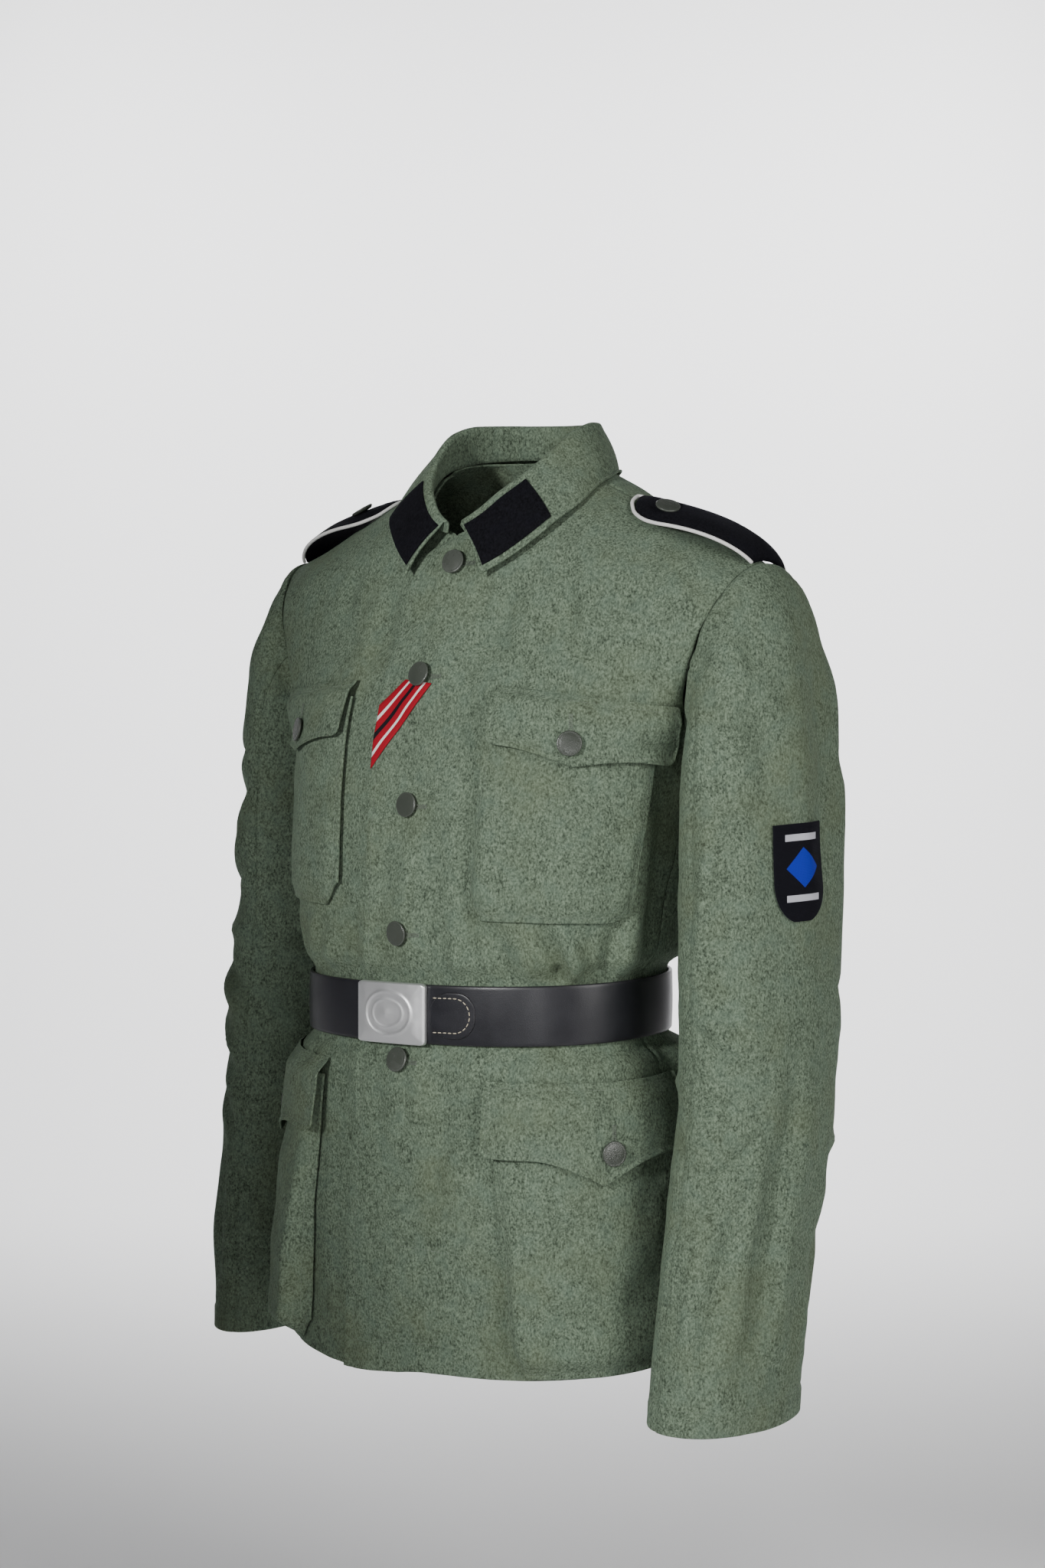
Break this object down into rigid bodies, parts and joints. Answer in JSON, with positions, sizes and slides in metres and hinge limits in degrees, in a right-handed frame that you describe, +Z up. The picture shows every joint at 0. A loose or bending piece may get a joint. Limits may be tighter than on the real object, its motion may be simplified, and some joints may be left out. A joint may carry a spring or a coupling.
{
  "type": "military field tunic with belt",
  "caption": "Hollow worn wool field tunic with turned-down collar, patch pockets with pointed flaps, shoulder straps, buttoned front and a leather waist belt.",
  "frame": {"origin": "the middle of the neck, level with the neck ends of the shoulder seams, where the wearer's neck and shoulders hold the garment", "axes": "+Z up, +X towards the wearer's left, -Y towards the wearer's front"},
  "size_m": [0.5526, 0.2613, 0.7407],
  "materials": {
    "field_grey_wool": "matte brushed wool",
    "black_cloth": "matte",
    "white_piping": "matte",
    "grey_green_paint": "matte",
    "black_leather": "satin",
    "dull_aluminium": "dull",
    "red_ribbon": "silky"
  },
  "bodies": {
    "root": {"back": "field_grey_wool", "front_left": "field_grey_wool", "front_right": "field_grey_wool", "collar": "field_grey_wool", "sleeve_left_upper": "field_grey_wool", "sleeve_left_under": "field_grey_wool", "sleeve_right_upper": "field_grey_wool", "sleeve_right_under": "field_grey_wool", "chest_pocket_left": "field_grey_wool", "chest_pocket_right": "field_grey_wool", "chest_flap_left": "field_grey_wool", "chest_flap_right": "field_grey_wool", "skirt_pocket_left": "field_grey_wool", "skirt_pocket_right": "field_grey_wool", "skirt_flap_left": "field_grey_wool", "skirt_flap_right": "field_grey_wool", "collar_tab_left": "black_cloth", "collar_tab_right": "black_cloth", "shoulder_strap_left": "black_cloth", "shoulder_strap_right": "black_cloth", "sleeve_patch": "black_cloth", "strap_piping_left": "white_piping", "strap_piping_right": "white_piping", "front_button_1": "grey_green_paint", "front_button_2": "grey_green_paint", "front_button_3": "grey_green_paint", "front_button_4": "grey_green_paint", "front_button_5": "grey_green_paint", "chest_button_left": "grey_green_paint", "chest_button_right": "grey_green_paint", "skirt_button_left": "grey_green_paint", "skirt_button_right": "grey_green_paint", "strap_button_left": "grey_green_paint", "strap_button_right": "grey_green_paint", "belt": "black_leather", "belt_tab": "black_leather", "buckle": "dull_aluminium", "ribbon": "red_ribbon"}
  },
  "joints": []
}
